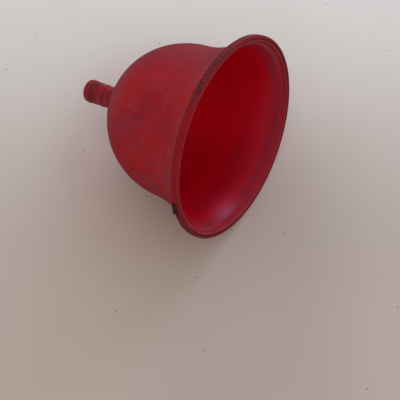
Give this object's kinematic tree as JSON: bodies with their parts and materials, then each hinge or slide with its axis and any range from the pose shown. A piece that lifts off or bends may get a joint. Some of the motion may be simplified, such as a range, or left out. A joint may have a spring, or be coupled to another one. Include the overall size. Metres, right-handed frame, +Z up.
{
  "type": "funnel",
  "caption": "Small plastic funnel with a domed bell bowl, a flared mouth edged by a hooked rim ring, and a ribbed straight spout, lying on its side",
  "frame": {"origin": "middle of the base of the funnel's box as it lies on its side; the surface it lies on is z = 0", "axes": "+Z up; the funnel's axis lies in the XZ plane, and the mouth faces +X and 17.4 degrees upward; the spout's tip is at -X; Y is across"},
  "size_m": [0.1088, 0.0998, 0.0959],
  "materials": {
    "bowl": "satin, weathered, with a pale haze",
    "rim_ring": "satin, with dried grime on its outside",
    "spout": "satin, dusty, with brown residue between the ribs"
  },
  "bodies": {
    "root": {"bowl": "bowl", "rim_ring": "rim_ring", "spout": "spout"}
  },
  "joints": []
}
